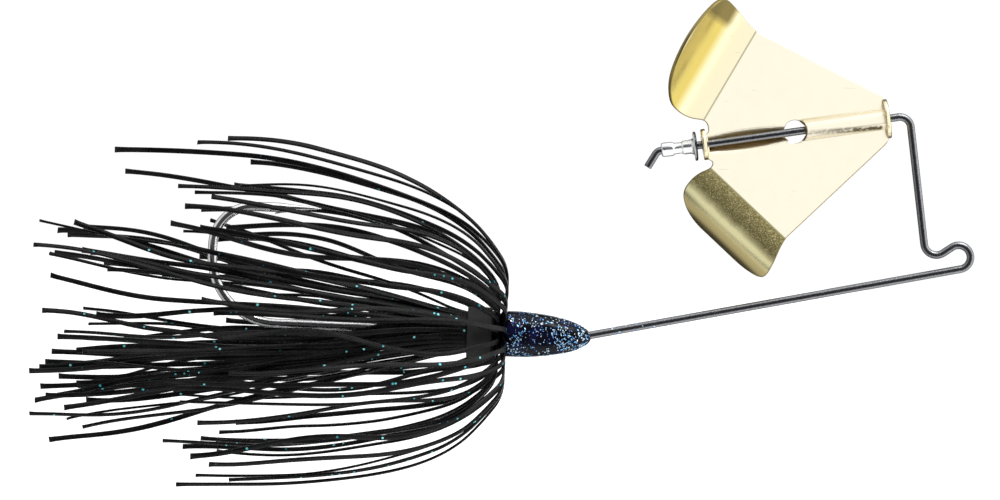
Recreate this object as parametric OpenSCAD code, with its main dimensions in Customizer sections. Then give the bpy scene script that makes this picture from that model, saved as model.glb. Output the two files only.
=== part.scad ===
// Buzzbait: a lead-headed hook and a bent wire arm that carries a spinning paddle blade,
// dressed with a silicone strand skirt held by a rubber collar.
// X runs along the hook shank towards the nose, Z is up, the origin is the line-tie bend.

/* [Wire arm] */
// Diameter of the spring wire
wire_d = 1.15; // [0.9:0.05:1.2]
// Slope of the lower arm above the hook shank, degrees
arm_slope = 12.7; // [12:0.1:13.5]
// Length of the lower arm from the line tie to the nose of the head
arm_length = 54.5; // [54:0.1:55]
// Centreline radius of the line-tie bend
tie_r = 1.74; // [1.6:0.02:1.9]
// Straight piece between the line tie and the bend into the upright
tie_tail = 1.5; // [1.3:0.02:1.8]
// Centreline radius of the bend into the upright
foot_r = 1.8; // [1.6:0.05:2]
// Heading of the upright, degrees from the shank direction
upright_heading = 99; // [97:0.1:100]
// Length of the upright
upright_length = 17.1; // [16.5:0.1:18]
// Centreline radius of the bend above the upright
top_r = 1.6; // [1.4:0.05:1.8]
// Heading of the blade shaft, degrees
shaft_heading = 190.6; // [190:0.1:191.5]
// Bend that keeps the rivet on the shaft, degrees
stop_bend = 50; // [40:1:60]
// Length of the bent tip
stop_tip = 2.3; // [1.5:0.1:3]

/* [Blade] */
// Thickness of the blade sheet
sheet_t = 0.6; // [0.5:0.05:0.7]
// Distance over the two ears
blade_length = 27.4; // [27.4:0.1:28]
// Free play of the blade and rivet along the shaft
shaft_play = 1.35; // [0.8:0.05:1.5]
// Half height of the rear ear
rear_ear_r = 2.3; // [2:0.1:2.5]
// Half height of the front ear
front_ear_r = 2.9; // [2.6:0.1:3]
// Bore of both ears
ear_bore_d = 1.4; // [1.3:0.02:1.5]
// Radius of the round hole at the middle of the blade
blade_hole_r = 1.67; // [1.5:0.01:1.8]
// Bend radius of the upper paddle, at the middle of the sheet
upper_curl_r = 8.9; // [8.4:0.1:9.2]
// Bend radius of the lower paddle, which is curled a little tighter
lower_curl_r = 7.1; // [7:0.1:7.6]

/* [Rivet] */
// Outside diameter of the rivet body
rivet_d = 2.1; // [2:0.05:2.4]
// Length over the flange
rivet_length = 5.2; // [4.5:0.1:5.3]
// Diameter of the flange
rivet_flange_d = 4.3; // [3.5:0.1:4.6]
// Bore of the rivet
rivet_bore_d = 1.46; // [1.36:0.02:1.6]
// How far the rivet leans on the shaft, degrees
rivet_lean = 1.5; // [0:0.1:1.8]

/* [Head] */
// Largest diameter, at the back of the head
head_d = 6.7; // [6.5:0.1:7]
// Length of the head from its back face to the nose
head_length = 12.4; // [12:0.1:12.6]
// Radius of the keeper barrel that the skirt is mounted on
barrel_r = 2.2; // [2:0.05:2.2]
// Length of the keeper barrel behind the head
barrel_length = 11.9; // [10:0.1:12.4]

/* [Hook] */
// Diameter of the hook wire
hook_d = 1.38; // [1.2:0.02:1.4]
// Centreline radius of the lower hook bend
bend_r = 9.5; // [9.4:0.05:9.6]
// Centreline radius of the upper hook bend
point_bend_r = 5.8; // [5.7:0.05:5.9]
// Length of the straight back between the two bends
hook_back = 1.5; // [1:0.1:2]
// Length of the point beyond the upper bend
point_length = 9.7; // [9:0.1:10]

/* [Skirt] */
// Number of strands in the inner layer under the collar
inner_count = 22; // [8:1:22]
// Number of strands in the outer layer under the collar
outer_count = 26; // [10:1:26]
// Width of one strand
strand_w = 0.62; // [0.5:0.02:0.62]
// Thickness of one strand
strand_t = 0.34; // [0.28:0.02:0.34]
// Length of the tails behind the collar
tail_length = 58; // [50:1:60]
// Reach of the folded-back tails behind the collar
bell_length = 43; // [35:1:45]
// Radius of the outer bell of folded tails
bell_r = 25.5; // [24:0.5:26]
// Width of the rubber collar
collar_w = 3.6; // [3:0.1:3.8]
// Outside diameter of the rubber collar
collar_d = 7.44; // [7.3:0.02:7.8]

/* [Trailer keeper] */
// Diameter of the spur wire
spur_d = 0.42; // [0.3:0.02:0.45]
// Outside diameter of the shrink sleeve around the shank
sleeve_d = 2; // [1.9:0.05:2.1]
// Length of the shrink sleeve
sleeve_length = 5.2; // [4.5:0.1:5.5]
// Angle of the spur above the shank, degrees
spur_angle = 24; // [18:1:30]

/* [Hidden] */
$fn = 48;
slip = 0.05;                        // clearance between stacked soft and hard parts
joint_proud = 0.015;                // how far the joints of a bent wire stand proud of it
head_back_x = -65.1;                // back face of the head
shank_z = -14;                      // height of the hook shank and of the head's axis
nose_x = head_back_x + head_length;
barrel_end_x = head_back_x - barrel_length;
collar_front_x = head_back_x - 2;
collar_back_x = collar_front_x - collar_w;

// Hook: the bends follow the shank, which starts at the eye inside the head
eye_r = 1.45;                       // centreline radius of the hook's eye
eye_wire_d = 1.1;
shank_end_x = -98.6;

// Strand layers under the collar
inner_r = barrel_r + slip + strand_t / 2;
outer_r = inner_r + strand_t + 0.07;
collar_bore_r = outer_r + strand_t / 2 + 0.07;
strand_count = inner_count + outer_count;

// ---- Bent round wire: a run of straight pieces and bends, laid end to end in the XZ plane ----
// A pose is [x, z, heading]. A step is ["line", length] or ["bend", radius, degrees],
// where a positive bend turns upwards (from +X to +Z) and a negative one turns downwards.

function ahead(pose, length) =
    [pose[0] + length * cos(pose[2]), pose[1] + length * sin(pose[2]), pose[2]];

function turned(pose, radius, degrees) =
    let (side = degrees > 0 ? 1 : -1, from = pose[2] - 90 * side, to = from + degrees)
    [pose[0] + radius * (cos(to) - cos(from)),
     pose[1] + radius * (sin(to) - sin(from)),
     pose[2] + degrees];

function step_end(pose, step) =
    step[0] == "line" ? ahead(pose, step[1]) : turned(pose, step[1], step[2]);

function run_end(pose, steps, i = 0) =
    i == len(steps) ? pose : run_end(step_end(pose, steps[i]), steps, i + 1);

module at_pose(pose) {
    translate([pose[0], 0, pose[1]]) rotate([0, -pose[2], 0]) children();
}

module wire_line(length, diameter) {
    rotate([0, 90, 0]) cylinder(h = length, d = diameter);
}

module wire_bend(radius, degrees, diameter) {
    side = degrees > 0 ? 1 : -1;
    translate([0, 0, radius * side])
        rotate([90, 0, 0])
            rotate([0, 0, degrees > 0 ? -90 : 90 + degrees])
                rotate_extrude(angle = abs(degrees))
                    translate([radius, 0]) circle(d = diameter);
}

// Neighbouring pieces are joined inside a ball that stands a hair proud of the wire
module wire_joint(diameter) {
    sphere(d = diameter + 2 * joint_proud);
}

module wire_run(pose, steps, diameter, i = 0) {
    if (i < len(steps)) {
        step = steps[i];
        at_pose(pose) {
            if (i > 0) wire_joint(diameter);
            if (step[0] == "line") wire_line(step[1], diameter);
            if (step[0] == "bend") wire_bend(step[1], step[2], diameter);
        }
        wire_run(step_end(pose, step), steps, diameter, i + 1);
    }
}

// ---- Wire arm ----

tie_start = [tie_r * sin(arm_slope), -tie_r * cos(arm_slope), arm_slope];
arm_back = [tie_start[0], tie_start[1], arm_slope + 180];

// From the line tie back to the head, then hooked up through the hook's eye
anchor_bend_r = 1.05;
anchor_steps = [
    ["line", arm_length + 1.2],
    ["bend", 3, 15],
    ["line", 2.35],
    ["bend", anchor_bend_r, -(arm_slope + 105)],
    ["line", 2.4],
];

// From the line tie up to the blade shaft
rise_steps = [
    ["bend", tie_r, 216 - arm_slope],
    ["line", tie_tail],
    ["bend", foot_r, upright_heading - 216],
    ["line", upright_length],
    ["bend", top_r, shaft_heading - upright_heading],
];
eye_x = run_end(arm_back, anchor_steps)[0];     // the hook's eye is threaded on the wire's end
shaft_start = run_end(tie_start, rise_steps);
ear_gap = 0.75;                     // play between the rear ear and the rivet flange
shaft_length = shaft_play + blade_length + ear_gap + rivet_length + 0.1;
shaft_steps = [
    ["line", shaft_length],
    ["bend", 1, stop_bend],
    ["line", stop_tip],
];

module wire_arm() {
    color("dimgray") {
        wire_run(arm_back, anchor_steps, wire_d);
        at_pose(tie_start) wire_joint(wire_d);
        wire_run(tie_start, rise_steps, wire_d);
        at_pose(shaft_start) wire_joint(wire_d);
        wire_run(shaft_start, shaft_steps, wire_d);
    }
}

// ---- Hook ----

hook_start = [shank_end_x, shank_z, 180];
hook_steps = [
    ["bend", bend_r, -90],
    ["line", hook_back],
    ["bend", point_bend_r, -90],
];
point_start = run_end(hook_start, hook_steps);
taper_length = 6;

module barb() {
    // A sliver cut up from the inner side of the point, its free end facing the bend
    at_pose(point_start)
        sheet([[3, -1.32], [6.2, -0.3], [4.6, -0.3], [4.3, -0.66]], 0.5);
}

module hook() {
    color("silver") {
        translate([eye_x, 0, shank_z])
            rotate_extrude() translate([eye_r, 0]) circle(d = eye_wire_d);
        translate([shank_end_x, 0, shank_z]) wire_line(eye_x - eye_r - shank_end_x, hook_d);
        at_pose(hook_start) wire_joint(hook_d);
        wire_run(hook_start, hook_steps, hook_d);
        at_pose(point_start) wire_joint(hook_d);
        at_pose(point_start) wire_line(point_length - taper_length, hook_d);
        at_pose(ahead(point_start, point_length - taper_length))
            rotate([0, 90, 0]) cylinder(h = taper_length, d1 = hook_d, d2 = 0.12);
        barb();
    }
}

// ---- Head and keeper barrel, cast round the hook's eye and the wire ----

head_steps = 28;
head_profile = concat([[0, 0]], [for (i = [0:head_steps])
    let (u = 1 - cos(90 * i / head_steps))
    [head_d / 2 * sqrt(1 - pow(1 - u, 2.1)), head_length * (1 - u)]]);

module head() {
    color("midnightblue")
        difference() {
            union() {
                translate([head_back_x, 0, shank_z]) rotate([0, 90, 0])
                    rotate_extrude() polygon(head_profile);
                translate([barrel_end_x, 0, shank_z]) wire_line(barrel_length, barrel_r * 2);
            }
            hook();
            wire_arm();
        }
}

// ---- Blade, in its own frame: X along the shaft from the rear ear, Z across, Y through ----

blade_pose = ahead(shaft_start, shaft_play + blade_length);
ear_t = 0.7;
crease_inner = [0.8, 3.5];          // where each crease meets the neck
crease_outer = [10.1, 15.15];       // where each crease meets the leading edge
crease_angle = atan2(crease_outer[1] - crease_inner[1], crease_outer[0] - crease_inner[0]);
crease_length = norm(crease_outer - crease_inner);
crease_lap = 0.3;
curl_limit = 78;                    // furthest sweep of a paddle, degrees
neck_x = 1.2;                       // rear edge of the sheet above and below the neck
upper_tab = 1.5;                    // half heights of the neck that carries the rear ear
lower_tab = 2.4;
hole_x = 13.6;
rib_r = 1.4;                        // outside radius of the pressed ribs over the shaft
rib_ends = [[1.7, 12.2], [15, 25.8]];

module sheet(points, thickness) {
    rotate([90, 0, 0]) linear_extrude(height = thickness, center = true) polygon(points);
}

// A smooth curve through the given points, with a number of steps to each span
function curve_through(points, steps) =
    let (last = len(points) - 1)
    concat([for (k = [0:last - 1], j = [0:steps - 1])
        let (t = j / steps, b = points[k], c = points[k + 1],
            a = points[max(k - 1, 0)], d = points[min(k + 2, last)])
        b + (c - a) * t / 2 + (2 * a - 5 * b + 4 * c - d) * t * t / 2
            + (3 * b - a - 3 * c + d) * t * t * t / 2], [points[last]]);

// Edge of a paddle laid flat: [distance along the crease, distance beyond it]
paddle_edge = curve_through([[-0.1, 0], [-0.7, 1.6], [-0.9, 3.6], [-0.1, 6.2], [3.5, 9.2], [8.7, 10.5],
    [13.5, 9.4], [16.4, 7.5], [16.3, 4.7], [15.3, 1.6], [crease_length, 0]], 4);

// One curled paddle: a strip of tube along the crease, trimmed to its rounded edge
module paddle(curl_r) {
    outline = concat([[-0.1, -0.1]],
        [for (p = paddle_edge) [p[0], curl_r * sin(p[1] / curl_r * 180 / PI)]],
        [[crease_length, -0.1]]);
    intersection() {
        rotate([90, 0, 90]) translate([-curl_r, 0])
            linear_extrude(height = 4 * crease_length, center = true)
                intersection() {
                    difference() {
                        circle(r = curl_r + sheet_t / 2, $fn = 96);
                        circle(r = curl_r - sheet_t / 2, $fn = 96);
                    }
                    polygon([[0, 0], [2 * curl_r, 0], [2 * curl_r, 2 * curl_r],
                        2 * curl_r * [cos(curl_limit), sin(curl_limit)]]);
                }
        rotate([90, 0, 0]) linear_extrude(height = 4 * curl_r, center = true) polygon(outline);
    }
}

module half_blade(curl_r, tab) {
    // The flat runs a little way into the curl and is a hair thinner, so the two always join
    lap = crease_lap * [-sin(crease_angle), cos(crease_angle)];
    sheet([[0.3, 0], [0.3, tab], [neck_x, tab], [neck_x, 3],
        crease_inner, crease_inner + lap, crease_outer + lap, crease_outer,
        [blade_length - 0.7, front_ear_r + 0.6], [blade_length - 0.3, front_ear_r], [blade_length - 0.3, 0]],
        sheet_t - 2 * joint_proud);
    translate([crease_inner[0], 0, crease_inner[1]]) rotate([0, -crease_angle, 0])
        paddle(curl_r);
}

module ear(x, radius) {
    translate([x, 0, 0]) rotate([0, 90, 0]) cylinder(h = ear_t, r = radius);
}

module half_tube(from, to, side) {
    intersection() {
        translate([from, 0, 0]) wire_line(to - from, 2 * rib_r);
        translate([from, side > 0 ? 0 : -rib_r - 1, -rib_r - 1])
            cube([to - from, rib_r + 1, 2 * rib_r + 2]);
    }
}

module blade() {
    color("gold")
        at_pose([blade_pose[0], blade_pose[1], shaft_heading - 180])
            difference() {
                union() {
                    half_blade(upper_curl_r, upper_tab);
                    rotate([180, 0, 0]) half_blade(lower_curl_r, lower_tab);
                    ear(0, rear_ear_r);
                    ear(blade_length - ear_t, front_ear_r);
                    half_tube(rib_ends[0][0], rib_ends[0][1], 1);
                    half_tube(rib_ends[1][0], rib_ends[1][1], -1);
                }
                // the shaft runs through both ears and along the inside of the ribs
                translate([-1, 0, 0]) wire_line(blade_length + 2, ear_bore_d);
                translate([hole_x, 0, 0]) rotate([90, 0, 0])
                    cylinder(h = 4 * rib_r, r = blade_hole_r, center = true);
                for (rib = [0, 1]) {
                    from = rib_ends[rib][0];
                    translate([from, rib == 0 ? -3 : 0, -ear_bore_d / 2])
                        cube([rib_ends[rib][1] - from, 3, ear_bore_d]);
                }
            }
}

// ---- Rivet: a loose flanged bearing sleeve behind the blade ----

rivet_pose = ahead(shaft_start, shaft_play + blade_length + ear_gap);
flange_t = 0.5;
waist_from = 2.3;
waist_to = 3.3;

module rivet() {
    body = rivet_d / 2;
    bore = rivet_bore_d / 2;
    waist = bore + 0.12;
    color("lightgray")
        at_pose(ahead(rivet_pose, rivet_length / 2))
            rotate([0, rivet_lean, 0]) translate([-rivet_length / 2, 0, 0])
                rotate([0, 90, 0]) rotate_extrude()
                    polygon([
                        [bore, 0], [rivet_flange_d / 2 - 0.2, 0], [rivet_flange_d / 2, 0.15],
                        [rivet_flange_d / 2 - 0.1, flange_t], [body + 0.25, flange_t],
                        [body, flange_t + 0.3], [body, waist_from - 0.3], [waist, waist_from],
                        [waist, waist_to], [body, waist_to + 0.3], [body, rivet_length - 0.2],
                        [body - 0.15, rivet_length], [bore, rivet_length]
                    ]);
}

// ---- Rubber collar ----

module skirt_collar() {
    edge = 0.12;
    outside = collar_d / 2;
    color("black")
        translate([collar_back_x, 0, shank_z]) rotate([0, 90, 0]) rotate_extrude()
            polygon([
                [collar_bore_r, 0], [outside - edge, 0], [outside, edge],
                [outside, collar_w - edge], [outside - edge, collar_w], [collar_bore_r, collar_w]
            ]);
}

// ---- Trailer keeper: a bent spur held on the shank by a shrink sleeve ----

spur_lift = (hook_d + spur_d) / 2 + 0.01;
spur_start = [barrel_end_x - 1.2, shank_z + spur_lift, 180];
spur_steps = [
    ["line", 5.4],
    ["bend", 0.75, spur_angle - 180],
    ["line", 3.3],
];

module keeper_spur() {
    color("darkgray") wire_run(spur_start, spur_steps, spur_d);
}

module keeper_sleeve() {
    wall = 0.2;
    color("black")
        translate([barrel_end_x - sleeve_length, 0, shank_z])
            difference() {
                union() {
                    wire_line(sleeve_length, sleeve_d);
                    translate([0, 0, spur_lift]) wire_line(sleeve_length, spur_d + 2 * wall);
                }
                translate([-1, 0, 0]) wire_line(sleeve_length + 2, hook_d);
                translate([-1, 0, spur_lift]) wire_line(sleeve_length - 0.2, spur_d);
            }
}

// ---- Skirt strands ----
// Each strand is one flat silicone strip. It runs from its rear tail through the collar,
// folds back over the collar and ends in a second tail on the bell-shaped outside.
// A point of its path is [x, distance from the shank axis, azimuth, twist].

function fraction(v) = v - floor(v);

// A number from -1 to 1 that differs from strand to strand for each property
function vary(i, property) = 2 * fraction(i * property) - 1;

LENGTH_VARIES = 0.7549;
SPREAD_VARIES = 0.5698;
DRIFT_VARIES = 0.6180;
WAVE_VARIES = 0.3247;
TWIST_VARIES = 0.8191;

side_flat = 0.86;                   // the bell is narrower from side to side than in height
low_side = 1.3;                     // and a little shallower below the shank than above it
tail_rings = 15;
bell_rings = 17;
fold_rings = 4;

// Strands part round the hook: the angle off the top of the bell goes through one of these
// tables of [even angle, parted angle], which leave the hook's gap bare on both sides.
INNER_TAILS = [[0, 40], [30, 52], [42, 96], [180, 180]];
OUTER_TAILS = [[0, 20], [70, 70], [84, 97], [180, 180]];
INNER_BELL = [[0, 0], [79, 75], [101, 101], [180, 180]];
OUTER_BELL = [[0, 0], [63, 58], [81, 71], [99, 99], [180, 180]];

function parted(azimuth, table, amount) =
    let (off_top = azimuth > 270 ? azimuth - 450 : azimuth - 90)
    azimuth + amount * sign(off_top) * (lookup(abs(off_top), table) - abs(off_top));

// Strands that were pulled further forward through the collar than the others
PULLED = [[6, 14], [28, 16]];
function pulled(i) = max([0, each [for (p = PULLED) if (p[0] == i) p[1]]]);

function ease(t) = t <= 0 ? 0 : t >= 1 ? 1 : t * t * (3 - 2 * t);

function tail_point(i, inner, azimuth, t) =
    let (
        reach = tail_length * (1 + 0.09 * vary(i, LENGTH_VARIES)) - pulled(i),
        full_spread = inner ? 8 + 2.2 * vary(i, SPREAD_VARIES) : 13.4 + 3 * vary(i, SPREAD_VARIES),
        spread = full_spread - (pulled(i) > 0 ? 2.4 : 0),
        open = sqrt(t * t + 0.0016) - 0.04,
        flare = 0.72 * open + 0.28 * sin(90 * open),
        wave = t * (inner ? 0.35 : 0.7) * sin(360 * (0.9 * t + vary(i, WAVE_VARIES))),
        drift = t * 4 * vary(i, DRIFT_VARIES)
    )
    [collar_back_x - reach * t,
     (inner ? inner_r : outer_r) + spread * flare + wave,
     parted(azimuth, inner ? INNER_TAILS : OUTER_TAILS, ease((reach * t - 3) / 18)) + drift,
     t * 40 * vary(i, TWIST_VARIES)];

function bell_point(i, inner, azimuth, fold_x, fold_r, t) =
    let (
        reach = bell_length * (1 + 0.12 * vary(i, LENGTH_VARIES)) + pulled(i),
        full_height = inner ? bell_r - fold_r + 1.6 * vary(i, SPREAD_VARIES)
                            : 0.66 * bell_r - fold_r + 3 + 1.2 * vary(i, SPREAD_VARIES),
        height = full_height - low_side * ease(-sin(azimuth)),
        angle = 90 * t,
        bulge = (inner ? 0.7 : 0.3) * sin(180 * min(1, 5 * t)),
        wave = t * 0.7 * sin(360 * (0.8 * t + vary(i, WAVE_VARIES))),
        drift = t * 6 * vary(i, DRIFT_VARIES)
    )
    [fold_x + bulge - reach * (1 - cos(angle)),
     fold_r + height * pow(sin(angle), inner ? 0.74 : 0.85) + wave,
     parted(azimuth, inner ? INNER_BELL : OUTER_BELL, ease(2 * t)) + drift,
     t * 40 * vary(i, TWIST_VARIES)];

function strand_path(i, inner, azimuth) =
    let (
        layer_r = inner ? inner_r : outer_r,
        fold_bend = inner ? 1.1 : 0.75,
        fold_x = collar_front_x + (inner ? 0.5 : 0.1)
    )
    concat(
        [for (k = [tail_rings:-1:0]) tail_point(i, inner, azimuth, k / tail_rings)],
        [for (k = [0:fold_rings]) let (a = 90 * k / fold_rings)
            [fold_x + fold_bend * sin(a), layer_r + fold_bend * (1 - cos(a)), azimuth, 0]],
        [for (k = [1:bell_rings])
            bell_point(i, inner, azimuth, fold_x + fold_bend, layer_r + fold_bend, k / bell_rings)]
    );

function place(p) =
    let (flat = 1 - (1 - side_flat) * ease((p[1] - 4) / 10))
    [p[0], p[1] * cos(p[2]) * flat, shank_z + p[1] * sin(p[2])];

function unit(v) = v / norm(v);

// The four corners of the strip at one point of its path
function strip_ring(before, here, after, azimuth, twist) =
    let (
        along = unit(after - before),
        round_axis = [0, -sin(azimuth), cos(azimuth)],
        flat_w = unit(round_axis - (round_axis * along) * along),
        flat_t = cross(along, flat_w),
        w = strand_w / 2 * (flat_w * cos(twist) + flat_t * sin(twist)),
        t = strand_t / 2 * (flat_t * cos(twist) - flat_w * sin(twist))
    )
    [here + w + t, here - w + t, here - w - t, here + w - t];

module strip(path) {
    last = len(path) - 1;
    centres = [for (p = path) place(p)];
    points = [for (k = [0:last])
        each strip_ring(centres[max(k - 1, 0)], centres[k], centres[min(k + 1, last)],
            path[k][2], path[k][3])];
    sides = [for (k = [0:last - 1], c = [0:3])
        let (a = 4 * k + c, b = 4 * k + (c + 1) % 4)
        each [[a, b + 4, b], [a, a + 4, b + 4]]];
    polyhedron(points, concat([[0, 1, 2], [0, 2, 3]], sides,
        [[4 * last, 4 * last + 2, 4 * last + 1], [4 * last, 4 * last + 3, 4 * last + 2]]));
}

module strand(i) {
    inner = i <= inner_count;
    place_in_layer = inner ? i : i - inner_count;
    azimuth = 360 * (place_in_layer - 0.25) / (inner ? inner_count : outer_count);
    color("black") strip(strand_path(i, inner, azimuth));
}

head();
hook();
wire_arm();
blade();
rivet();
skirt_collar();
keeper_sleeve();
keeper_spur();
for (i = [1:strand_count]) {
    strand(i);
}
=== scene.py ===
"""Looks of the buzzbait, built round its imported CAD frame.

Shapes are worked out in millimetres in the row frame (X along the hook's shank, Z up, Y through)
and turned into metres when a mesh is made.
"""

import math
import random

import bpy
from mathutils import Matrix, Vector, noise
from mathutils.geometry import delaunay_2d_cdt


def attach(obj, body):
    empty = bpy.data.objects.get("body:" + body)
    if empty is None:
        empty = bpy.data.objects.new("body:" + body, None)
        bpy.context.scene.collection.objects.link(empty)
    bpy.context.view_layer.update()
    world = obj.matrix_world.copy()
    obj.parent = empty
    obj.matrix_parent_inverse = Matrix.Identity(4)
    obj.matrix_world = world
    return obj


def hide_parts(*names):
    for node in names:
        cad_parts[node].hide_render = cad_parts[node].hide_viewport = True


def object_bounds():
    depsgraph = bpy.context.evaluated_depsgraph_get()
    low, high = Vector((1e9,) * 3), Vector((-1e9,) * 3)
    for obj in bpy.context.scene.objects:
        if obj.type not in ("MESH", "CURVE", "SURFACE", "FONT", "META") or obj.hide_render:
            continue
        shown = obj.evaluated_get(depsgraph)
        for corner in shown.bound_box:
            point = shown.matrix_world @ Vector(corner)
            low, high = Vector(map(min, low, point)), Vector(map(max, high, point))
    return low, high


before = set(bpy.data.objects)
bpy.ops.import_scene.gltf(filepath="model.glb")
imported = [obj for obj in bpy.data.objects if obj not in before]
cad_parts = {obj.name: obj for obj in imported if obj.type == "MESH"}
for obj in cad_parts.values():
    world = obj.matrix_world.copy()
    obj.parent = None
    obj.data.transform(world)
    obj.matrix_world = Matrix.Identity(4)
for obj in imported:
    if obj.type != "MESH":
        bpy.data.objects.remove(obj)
CAD_BOX = [list(corner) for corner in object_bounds()]
MM = 0.001
rng = random.Random(20261)


def sind(a):
    return math.sin(math.radians(a))


def cosd(a):
    return math.cos(math.radians(a))


def ease(t):
    t = min(1.0, max(0.0, t))
    return t * t * (3 - 2 * t)


def mix(a, b, t):
    return a + (b - a) * t


def in_scene(name, data):
    obj = bpy.data.objects.new(name, data)
    bpy.context.collection.objects.link(obj)
    return obj


# ---- Camera ----

VIEW_CENTRE = Vector((-66.46, 0, -1.92))
VIEW_ROLL = 2.57       # degrees that the photographed lure is rolled by
VIEW_WIDTH = 145.0     # width of the picture at the lure
LENS, SENSOR = 200.0, 36.0


def make_camera():
    cam = bpy.data.cameras.new("camera")
    cam.lens, cam.sensor_width = LENS, SENSOR
    cam.clip_start, cam.clip_end = 0.05, 60
    obj = in_scene("camera", cam)
    c, s = cosd(VIEW_ROLL), sind(VIEW_ROLL)
    turn = Matrix(((c, -s, 0), (0, 0, -1), (s, c, 0)))
    away = VIEW_WIDTH * LENS / SENSOR
    place = VIEW_CENTRE - Vector((0, away, 0))
    obj.matrix_world = Matrix.Translation(place * MM) @ turn.to_4x4()
    bpy.context.scene.camera = obj


# ---- Shader helpers ----


class Graph:
    """A node tree being wired up. Numbers, colours, nodes and sockets can all feed a socket."""

    def __init__(self, tree):
        self.tree = tree

    def feed(self, socket, value):
        if isinstance(value, bpy.types.Node):
            value = value.outputs[0]
        if isinstance(value, bpy.types.NodeSocket):
            self.tree.links.new(value, socket)
        elif isinstance(value, tuple) and len(value) == 3 and socket.type == "RGBA":
            socket.default_value = (*value, 1.0)
        else:
            socket.default_value = value

    def node(self, kind, settings=None, **inputs):
        """A shader node, with settings as attributes and inputs by socket name (spaces as _) or index."""
        made = self.tree.nodes.new("ShaderNode" + kind)
        for key, value in (settings or {}).items():
            setattr(made, key, value)
        for key, value in inputs.items():
            by_index = key[0] == "i" and key[1:].isdigit()
            self.feed(made.inputs[int(key[1:]) if by_index else key.replace("_", " ")], value)
        return made

    def math(self, operation, a, b=0.0, c=0.0, clamp=False):
        return self.node("Math", {"operation": operation, "use_clamp": clamp}, i0=a, i1=b, i2=c)

    def times(self, *factors):
        """The product of numbers, nodes or sockets; the first one is a node or socket."""
        made = factors[0]
        for factor in factors[1:]:
            made = self.math("MULTIPLY", made, factor)
        return made

    def ramp(self, fac, stops):
        """A colour ramp; a stop is (position, grey or colour)."""
        made = self.node("ValToRGB", Fac=fac)
        bar = made.color_ramp
        while len(bar.elements) < len(stops):
            bar.elements.new(1.0)
        for element, (position, colour) in zip(bar.elements, stops):
            element.position = position
            element.color = (*colour, 1) if isinstance(colour, tuple) else (colour, colour, colour, 1)
        return made

    def rise(self, fac, low, high):
        """0 below low, 1 above high; the other way round if low is above high."""
        return self.ramp(fac, sorted([(low, 0.0), (high, 1.0)]))

    def blend(self, fac, a, b):
        made = self.node("Mix", {"data_type": "RGBA"}, i0=fac, i6=a, i7=b)
        return made.outputs[2]

    def attribute(self, name):
        return self.node("Attribute", {"attribute_name": name}).outputs["Fac"]

    def place(self):
        return self.node("TexCoord").outputs["Object"]

    def noise(self, size_mm, detail=2.0, roughness=0.5, vector=None):
        """Noise whose lumps are about size_mm across."""
        return self.node("TexNoise", Vector=vector or self.place(), Scale=1000.0 / size_mm,
                         Detail=detail, Roughness=roughness).outputs["Fac"]

    def flecks(self, size_mm, dot, share):
        """Round flecks in some of the cells of a pattern: how much fleck is here, and its own number."""
        cells = self.node("TexVoronoi", Vector=self.place(), Scale=1000.0 / size_mm, Randomness=1.0)
        pick = self.node("SeparateColor", Color=cells.outputs["Color"])
        here = self.rise(cells.outputs["Distance"], *dot)
        return self.times(here, self.rise(pick.outputs[0], *share)), pick.outputs[1]


class Finish(Graph):
    """A material round one Principled BSDF."""

    def __init__(self, name, base, metallic=0.0, roughness=0.5, **sockets):
        self.mat = bpy.data.materials.new(name)
        self.mat.use_nodes = True
        super().__init__(self.mat.node_tree)
        self.bsdf = self.tree.nodes["Principled BSDF"]
        self.set(Base_Color=base, Metallic=metallic, Roughness=roughness, **sockets)

    def set(self, **sockets):
        for key, value in sockets.items():
            self.feed(self.bsdf.inputs[key.replace("_", " ")], value)

    def roughen(self, cloud, low, span=0.2):
        """Roughness that runs from low to low + span with a noise."""
        self.set(Roughness=self.math("MULTIPLY_ADD", cloud, span, low))

    def bump(self, height, strength, depth_mm):
        self.set(Normal=self.node("Bump", Strength=strength, Distance=depth_mm * MM, Height=height))


# ---- Materials ----


# Where the brass is on a curl is told by point attributes: curl (mm beyond the crease), reach (mm along
# the crease) and inside (1 on the hollow side). Beside the shaft, along and up are its flat place.
CURL_SPAN, REACH_SPAN, BLADE_SPAN = 12.0, 16.0, 27.0
# the -Y face of the flats is painted paler cream than the +Y face: a painted sheen of the front light
FLAT_NEAR_PAINTED_SHEEN, FLAT_FAR = (0.79, 0.735, 0.595), (0.84, 0.72, 0.45)


def hollow_side(look, on_curl):
    """Inside of a curl, with painted reflections: pale by the crease, a deep gold band further round, and
    darker at its outer corner.
    """
    # painted reflection bands across the curl
    gold = look.ramp(on_curl, [
        (0.0, FLAT_NEAR_PAINTED_SHEEN), (0.02, (0.76, 0.70, 0.50)), (0.30, (0.74, 0.68, 0.45)),
        (0.44, (0.56, 0.44, 0.11)), (0.62, (0.53, 0.43, 0.13)), (0.84, (0.50, 0.42, 0.14)),
        (0.875, (0.88, 0.80, 0.58))])
    corner = look.rise(look.math("DIVIDE", look.attribute("reach"), REACH_SPAN), 0.80, 0.88)
    darker_corner = look.times(corner, look.rise(on_curl, 0.30, 0.40), 0.95)
    return look.blend(darker_corner, gold, (0.17, 0.135, 0.05))


def round_side(look, on_curl, grain_and_dark_reflection, speck):
    """Outside of a curl: a painted dark reflection band by the crease, speckled like stretched grain, then a
    painted highlight and tan reflection bands.
    """
    reflection_bands = look.ramp(on_curl, [
        (0.0, (0.70, 0.62, 0.30)), (0.40, (0.90, 0.84, 0.48)), (0.52, (0.62, 0.52, 0.24)),
        (0.80, (0.56, 0.45, 0.20)), (0.90, (0.75, 0.62, 0.34))])
    # the painted dark reflection band, with bright specks of the grain
    stretched = look.blend(speck, (0.19, 0.16, 0.065), (0.74, 0.66, 0.34))
    return look.blend(grain_and_dark_reflection, reflection_bands, stretched)


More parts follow.
